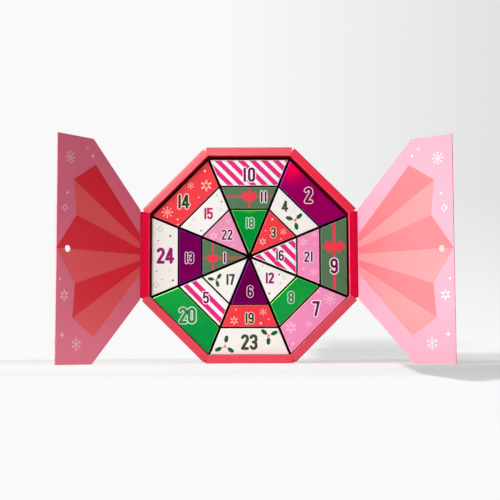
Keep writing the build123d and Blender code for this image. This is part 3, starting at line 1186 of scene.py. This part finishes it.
@dataclass
class Wing:
    """One wing: its board, its print and its paper hinge. Shares are of its width or half height."""

    body: str
    side: int
    ray_apex_share: Point = (-0.17, 0.0)
    ray_tip_shares: tuple[Point, ...] = (
        (0.56, 0.77), (0.815, 0.61), (0.78, 0.30), (1.0, 0.0), (0.79, -0.30), (0.815, -0.60), (0.57, -0.76),
    )
    strong_rays: tuple[int, ...] = (0, 2, 4)
    edge_radius: float = 0.45 * MM
    tape_reach: float = 13.0 * MM
    tape_board: float = 0.24 * MM
    tape_start: float = -18.0 * MM
    tape_bend: float = -27.4 * MM
    tape_steps: int = 10
    tape_landing: float = 2.5 * MM
    tape_pull: float = 0.55
    board: float = 2.0 * MM
    glue: float = 0.05 * MM
    print_margin: float = 0.6

    @property
    def hole(self) -> dict:
        """The record's mount of the tie hole."""
        return next(m for m in frame["record"]["mounts"] if m["name"] == f"{self.body}_hole")

    def frame_axes(self) -> tuple[Vector, Vector, Vector]:
        """Read the hinge's place, the wing's direction and its face's normal from the frame."""
        joint = next(j for j in frame["joints"] if j["name"] == f"{self.body}_fold")
        hinge, normal = Vector(joint["pos_m"]), Vector(self.hole["axis"]).normalized()
        return hinge, UP.cross(normal) * self.side, normal

    def place(self) -> Matrix:
        """Return the matrix from the wing's printed face to the frame."""
        hinge, along, normal = self.frame_axes()
        return Matrix((
            (along.x, UP.x, normal.x, hinge.x), (along.y, UP.y, normal.y, hinge.y),
            (along.z, UP.z, normal.z, hinge.z), (0.0, 0.0, 0.0, 1.0),
        ))

    def build_board(self) -> None:
        """Make the board: the printed side pink, the outside red."""
        hinge, along, normal = self.frame_axes()
        form = merged_node(self.body)
        for face in form.faces:
            at_hinge = face.normal.dot(along) < -0.9
            face.material_index = 1 if at_hinge or face.normal.dot(normal) < -0.5 else 0
        edges = [edge for edge in form.edges if sharp(edge)]
        soften(form, edges, self.edge_radius, 2)
        piece = make_object(f"{self.body}_board", form, [WING_PINK, WING_BACK])
        attach(piece, self.body, "wing_red", self.body)

    def build_print(self) -> None:
        """Draw the fan of rays and the snowflakes around it."""
        low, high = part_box(self.body)
        reach = (high[2] - low[2]) / 2 / MM

        def spot(share: Point) -> Point:
            """Turn shares of the wing into millimetres."""
            return (share[0] * reach, share[1] * reach)

        ink = Print(f"{self.body}_print")
        apex = spot(self.ray_apex_share)
        tips = [spot(share) for share in self.ray_tip_shares]
        for ray, (first, second) in enumerate(zip(tips, tips[1:])):
            finish = WING_STRONG if ray in self.strong_rays else WING_LIGHT
            ink.shape(finish, [apex, second, first], ray % 2)
        for draw, share, radius in (
            (ink.spoke_flake, (0.856, 0.80), 11.5), (ink.petal_flake, (0.908, -0.405), 11.0),
            (ink.star_flake, (0.767, -0.825), 11.5), (ink.sparkle, (0.927, -0.746), 6.0),
        ):
            draw(WING_FLAKE, spot(share), radius)
        ink.ring(WING_FLAKE, spot((0.911, 0.353)), 5.6, 1.5, 1, 4)
        ink.star_flake(WING_FLAKE, spot((0.66, 0.9)), 4.0)
        for share, radius in (((0.594, 0.846), 2.6), ((0.884, 0.486), 2.2), ((0.956, -0.266), 2.0)):
            ink.disc(WING_FLAKE, spot(share), radius, 1)
        short, edge = reach * math.tan(HALF_SECTOR), self.print_margin
        outline = [
            (edge, -short), (reach - short, -reach), (reach, -reach), (reach, reach), (reach - short, reach),
            (edge, short),
        ]
        ink.trim(outline, edge)
        self.cut_hole(ink, reach)
        attach(ink.finish(self.place()), self.body, "wing_red")

    def build_tape(self) -> None:
        """Make the paper hinge: a strip from the side wall round to the wing's outer face."""
        hinge, along, normal = self.frame_axes()
        hinge = Vector((hinge.x, hinge.y, 0.0))
        low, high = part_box("hinge_tapes")
        wall = (high[0] if self.side > 0 else low[0]) - self.side * self.tape_board / 2
        board = self.board + self.tape_board / 2 + self.glue
        start = Vector((wall, self.tape_bend, 0.0))
        landing = hinge + along * self.tape_landing - normal * board
        end = hinge + along * self.tape_reach - normal * board
        path = [Vector((wall, self.tape_start, 0.0))]
        pull = (landing - start).length * self.tape_pull
        first, second = start + Vector((0.0, -pull, 0.0)), landing - along * pull
        for i in range(self.tape_steps + 1):
            share = i / self.tape_steps
            rest = 1.0 - share
            point = start * rest**3 + first * 3 * rest**2 * share
            point = point + second * 3 * rest * share**2 + landing * share**3
            path.append(Vector((point.x, point.y, 0.0)))
        path.append(Vector((end.x, end.y, 0.0)))
        form = bmesh.new()
        verts = [form.verts.new((point.x, point.y, low[2])) for point in path]
        edges = [form.edges.new(pair) for pair in zip(verts, verts[1:])]
        made = bmesh.ops.extrude_edge_only(form, edges=edges)
        risen = [item for item in made["geom"] if isinstance(item, bmesh.types.BMVert)]
        bmesh.ops.translate(form, verts=risen, vec=(0.0, 0.0, high[2] - low[2]))
        bmesh.ops.recalc_face_normals(form, faces=form.faces)
        bmesh.ops.solidify(form, geom=form.faces[:], thickness=self.tape_board)
        bmesh.ops.recalc_face_normals(form, faces=form.faces)
        piece = make_object(f"{self.body}_hinge", form, [RIM_RED])
        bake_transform(piece)
        if self.side < 0:
            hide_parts("hinge_tapes")
        log.info("%s joins the tray and %s", piece.name, self.body)

    def cut_hole(self, ink: Print, reach: float) -> None:
        """Take the print away from the tie hole.

        Args:
            ink: The print, still in its own plane.
            reach: The wing's width, in millimetres.
        """
        hinge, along, _ = self.frame_axes()
        centre = (Vector(self.hole["pos_m"]) - hinge).dot(along)
        radius = self.hole["dims"]["r_mm"] * MM
        form = ink.form
        sides = 24
        for i in range(sides):
            turn = math.tau * (i + 0.5) / sides
            outward = Vector((math.cos(turn), math.sin(turn), 0.0))
            near = [
                face for face in form.faces
                if (face.calc_center_median() - Vector((centre, 0.0, 0.0))).length < reach * MM
            ]
            geom = list({v for f in near for v in f.verts}) + list({e for f in near for e in f.edges}) + near
            bmesh.ops.bisect_plane(
                form, geom=geom, plane_co=Vector((centre, 0.0, 0.0)) + outward * radius, plane_no=outward
            )
        inside = [
            face for face in form.faces
            if (face.calc_center_median().xy - Vector((centre, 0.0))).length < radius * 0.99
            and all((vert.co.xy - Vector((centre, 0.0))).length < radius * 1.02 for vert in face.verts)
        ]
        bmesh.ops.delete(form, geom=inside, context="FACES")

    def build(self) -> None:
        """Make the board, the print and the hinge."""
        self.build_board()
        self.build_print()
        self.build_tape()


@dataclass(frozen=True)
class Lamp:
    """A soft lamp or a bright panel, aimed at the object.

    Azimuth is in degrees from straight in front, to the right; height is above the horizon.
    """

    name: str
    power: float
    azimuth: float
    height: float
    distance: float
    width: float
    tall: float
    gloss_only: bool = False

    def build(self, target: Vector) -> None:
        """Add the lamp to the scene, aimed at a target."""
        lamp = bpy.data.lights.new(self.name, "AREA")
        lamp.shape = "RECTANGLE"
        lamp.energy = self.power
        lamp.size, lamp.size_y = self.width, self.tall
        holder = bpy.data.objects.new(self.name, lamp)
        azimuth, height = math.radians(self.azimuth), math.radians(self.height)
        reach = Vector((
            math.cos(height) * math.sin(azimuth), -math.cos(height) * math.cos(azimuth), math.sin(height),
        ))
        holder.location = target + reach * self.distance
        holder.rotation_euler = reach.to_track_quat("Z", "Y").to_euler()
        holder.visible_diffuse = not self.gloss_only
        bpy.context.scene.collection.objects.link(holder)
        log.info("lamp %s", self.name)


@dataclass
class Studio:
    """The camera, the floor, the lamps and the room, which only shows at the floor's end and in the gloss."""

    photo_width: float = 500.0
    focal_px: float = 1110.0
    sensor_width: float = 36.0
    clip_end: float = 50.0
    camera_at: Point = (-0.003, -2.068)
    camera_height: float = 0.030
    yaw: float = -0.12
    pitch: float = 4.992
    roll: float = -0.19
    floor_size: float = 40.0
    floor_reach: Point = (0.45, 1.1)
    floor_shares: Point = (0.4, 1.0)
    floor_levels: Point = (0.92, 0.95)
    floor_bounce: float = 0.33
    shade_side: Point = (0.273, 0.104)
    shade_tip: Point = (0.186, -1.12)
    shade_front_slope: float = 2.0
    shade_bend: float = 0.2
    shade_soft: Point = (-0.02, 0.05)
    shade_back_start: Point = (0.045, 0.07)
    shade_back_end: Point = (0.15, 0.185)
    shade_right_end: Point = (0.235, 0.42)
    shade_fade: Point = (1.2, 4.0)
    shade_near: Point = (-0.35, 0.0)
    shade_far: Point = (0.45, 1.15)
    shade_rise: Point = (-0.1, 0.4)
    shade_edge: Point = (-0.006, 0.008)
    shade_levels: Spot = (0.34, 0.1, 0.28)
    paper_dark: Colour = (0.80, 0.80, 0.795)
    paper_light: Colour = (0.84, 0.84, 0.835)
    paper_glow: Row = (1.0, 1.0, 0.995, 1.0)
    paper_scale: float = 1.5
    paper_roughness: float = 0.9
    paper_gloss: float = 0.1
    floor_drop: float = 0.0001
    lamps: tuple[Lamp, ...] = (
        Lamp("key", 74.0, -41.0, 30.0, 3.0, 1.2, 1.2),
        Lamp("upper_panel", 16.0, -12.0, 30.0, 2.6, 1.3, 0.5, gloss_only=True),
        Lamp("left_panel", 104.0, -68.0, 5.0, 2.5, 1.8, 1.8, gloss_only=True),
        Lamp("low_left_panel", 24.0, -72.0, -2.0, 2.5, 1.8, 0.2, gloss_only=True),
        Lamp("right_panel", 10.0, 90.0, -3.0, 2.5, 1.4, 0.3, gloss_only=True),
    )
    fill_left: float = 0.32
    fill_right: float = 0.12
    mirror_front: float = 0.76
    mirror_right: float = 0.15
    room_greys: tuple[Row, ...] = ((0.945, 0.945, 0.94, 1.0), (0.72, 0.72, 0.72, 1.0))
    room_back: Point = (0.0, 0.5)
    room_front: Point = (-0.3, 0.1)
    room_right: Point = (0.4, 0.9)
    corner_right: Point = (-0.02, 0.28)
    corner_up: Point = (0.0, 0.13)
    band_start: Point = (0.05, 0.08)
    band_end: Point = (0.12, 0.22)
    band_top: Point = (0.0, 0.012)

    def build_camera(self) -> None:
        """Set the camera where the photograph was taken from."""
        camera = bpy.data.cameras.new("camera")
        camera.sensor_width = self.sensor_width
        camera.lens = camera.sensor_width * self.focal_px / self.photo_width
        camera.clip_end = self.clip_end
        holder = bpy.data.objects.new("camera", camera)
        holder.location = (*self.camera_at, self.camera_height)
        turn = (
            Matrix.Rotation(math.radians(self.yaw), 4, "Z")
            @ Matrix.Rotation(math.radians(90.0 + self.pitch), 4, "X")
            @ Matrix.Rotation(math.radians(self.roll), 4, "Z")
        )
        holder.rotation_euler = turn.to_euler()
        bpy.context.scene.collection.objects.link(holder)
        bpy.context.scene.camera = holder

    def shade(self, tree: Tree, across: Socket, deep: Socket) -> Socket:
        """Add a painted soft shade on the floor: behind the tray, and below and in front of the right wing.

        Args:
            tree: The floor's nodes.
            across: The place along X.
            deep: The place along Y.

        Returns:
            The share of the light that is missing.
        """
        times, larger = partial(work, tree, "MULTIPLY"), partial(work, tree, "MAXIMUM")
        tip_across, tip_deep = self.shade_tip
        ratio = work(tree, "DIVIDE", across, work(tree, "ADD", deep, -self.camera_at[1]))
        fade = spread(tree, deep, self.shade_fade, (1.0, 0.1))
        side = work(tree, "MULTIPLY_ADD", deep, self.shade_side[1], self.shade_side[0])
        side = work(tree, "SUBTRACT", across, larger(side, tip_across))
        side = spread(tree, side, self.shade_edge, (0.0, 1.0), smooth=True)
        front = larger(work(tree, "SUBTRACT", across, self.shade_bend), 0.0)
        front = work(tree, "MULTIPLY_ADD", front, -self.shade_front_slope, deep)
        ends = (tip_deep + self.shade_soft[0], tip_deep + self.shade_soft[1])
        front = spread(tree, front, ends, (0.0, 1.0), smooth=True)
        ahead = times(times(side, front), fade)
        ahead = times(ahead, spread(tree, ratio, self.shade_right_end, (1.0, 0.0), smooth=True))
        beyond = larger(spread(tree, ratio, self.shade_back_end, (1.0, 0.1)), fade)
        beyond = times(beyond, spread(tree, ratio, self.shade_back_start, (0.0, 1.0), smooth=True))
        beyond = times(beyond, spread(tree, deep, self.shade_rise, (0.0, 1.0)))
        near, middle, far = self.shade_levels
        level = larger(
            spread(tree, deep, self.shade_near, (near, middle)),
            spread(tree, deep, self.shade_far, (middle, far)),
        )
        return times(larger(ahead, beyond), level)

    def build_floor(self) -> None:
        """Make the pale floor, with a painted shade, glowing near the object as a painted bounce light."""
        form = bmesh.new()
        bmesh.ops.create_grid(form, x_segments=4, y_segments=4, size=self.floor_size / 2)
        shader = Shader("floor_paper")
        tree = shader.tree
        parts = tree.nodes.new("ShaderNodeSeparateXYZ")
        shader.link(shader.place, parts.inputs[0])
        across, deep = parts.outputs["X"], parts.outputs["Y"]
        flat = tree.nodes.new("ShaderNodeVectorMath")
        flat.operation = "LENGTH"
        shader.link(shader.place, flat.inputs[0])
        away = flat.outputs["Value"]
        shade = self.shade(tree, across, deep)
        light = work(tree, "SUBTRACT", 1.0, shade)
        paper = shader.blend(shader.noise(self.paper_scale, 3.0), self.paper_dark, self.paper_light)
        # The floor glows near the object: painted bounce light that lights the object from below.
        bounce = spread(tree, away, self.floor_reach, (self.floor_bounce, 0.0), smooth=True)
        shader.dress({
            "Base Color": shader.blend(shade, paper, (0.0, 0.0, 0.0)),
            "Roughness": self.paper_roughness,
            "Specular IOR Level": self.paper_gloss,
            "Emission Color": self.paper_glow,
            "Emission Strength": work(tree, "MULTIPLY", bounce, light),
        })
        path = tree.nodes.new("ShaderNodeLightPath")
        glow = tree.nodes.new("ShaderNodeEmission")
        glow.inputs["Color"].default_value = self.paper_glow
        level = spread(tree, away, self.floor_reach, self.floor_levels, smooth=True)
        shader.link(work(tree, "MULTIPLY", level, light), glow.inputs["Strength"])
        share = spread(tree, away, self.floor_reach, self.floor_shares, smooth=True)
        mix = tree.nodes.new("ShaderNodeMixShader")
        shader.link(work(tree, "MULTIPLY", path.outputs["Is Camera Ray"], share), mix.inputs[0])
        shader.link(shader.surface.outputs[0], mix.inputs[1])
        shader.link(glow.outputs[0], mix.inputs[2])
        shader.link(mix.outputs[0], tree.nodes["Material Output"].inputs["Surface"])
        mesh = bpy.data.meshes.new("floor")
        form.to_mesh(mesh)
        form.free()
        mesh.materials.append(shader.material)
        floor = bpy.data.objects.new("floor", mesh)
        floor.location.z = -self.floor_drop
        bpy.context.scene.collection.objects.link(floor)

    def build_lamps(self) -> None:
        """Set the soft lamp at the front left and the panels that only show as reflections."""
        for lamp in self.lamps:
            lamp.build(UP * CENTRE)

    def build_room(self) -> None:
        """Give the room a plain level, lighter at the left, and a pale backdrop behind the object, with painted
        shade towards its upper right and in a band at the right.

        The backdrop is seen by the camera all round, and by mirror rays where it stands, which
        is behind the object.
        """
        world = bpy.data.worlds.new("room")
        world.use_nodes = True
        tree = world.node_tree
        times, larger = partial(work, tree, "MULTIPLY"), partial(work, tree, "MAXIMUM")
        direction = tree.nodes.new("ShaderNodeSeparateXYZ")
        tree.links.new(tree.nodes.new("ShaderNodeTexCoord").outputs["Generated"], direction.inputs[0])
        right, deep, up = (direction.outputs[name] for name in "XYZ")
        seen = tree.nodes["Background"]
        paper = tree.nodes.new("ShaderNodeMix")
        paper.data_type = "RGBA"
        for socket, grey in zip((6, 7), self.room_greys):
            paper.inputs[socket].default_value = grey
        # Painted shade on the backdrop: grey towards the upper right, and a soft band just above the floor's end
        # at the right.
        corner = times(
            spread(tree, right, self.corner_right, (0.0, 1.0)), spread(tree, up, self.corner_up, (0.0, 1.0))
        )
        low_band = times(
            spread(tree, right, self.band_start, (0.0, 1.0), smooth=True),
            spread(tree, up, self.band_top, (1.0, 0.0), smooth=True),
        )
        low_shade = times(low_band, spread(tree, right, self.band_end, (1.0, 0.0), smooth=True))
        behind = spread(tree, deep, self.room_back, (0.0, 1.0))
        tree.links.new(times(larger(corner, low_shade), behind), paper.inputs[0])
        tree.links.new(paper.outputs[2], seen.inputs["Color"])
        fill = tree.nodes.new("ShaderNodeBackground")
        fill_level = spread(tree, right, (-1.0, 1.0), (self.fill_left, self.fill_right))
        tree.links.new(fill_level, fill.inputs["Strength"])
        path = tree.nodes.new("ShaderNodeLightPath")
        level = times(
            spread(tree, deep, self.room_front, (self.mirror_front, 1.0)),
            spread(tree, right, self.room_right, (1.0, self.mirror_right)),
        )
        mirrored = times(larger(path.outputs["Is Glossy Ray"], path.outputs["Is Transmission Ray"]), level)
        mix = tree.nodes.new("ShaderNodeMixShader")
        tree.links.new(larger(path.outputs["Is Camera Ray"], mirrored), mix.inputs[0])
        tree.links.new(fill.outputs[0], mix.inputs[1])
        tree.links.new(seen.outputs[0], mix.inputs[2])
        tree.links.new(mix.outputs[0], tree.nodes["World Output"].inputs["Surface"])
        bpy.context.scene.world = world

    def build(self) -> None:
        """Set the camera first, then the floor, the lamps and the room."""
        self.build_camera()
        self.build_floor()
        self.build_lamps()
        self.build_room()
        bpy.context.scene.view_settings.view_transform = "Standard"


def main() -> None:
    """Build the studio and every piece of the calendar in order."""
    logging.basicConfig(level=logging.INFO, format="%(message)s")
    Studio().build()
    Tray().build()
    for box in gift_boxes():
        box.build()
    for body, side in (("wing_left", -1), ("wing_right", 1)):
        Wing(body, side).build()


if __name__ == "__main__":
    main()
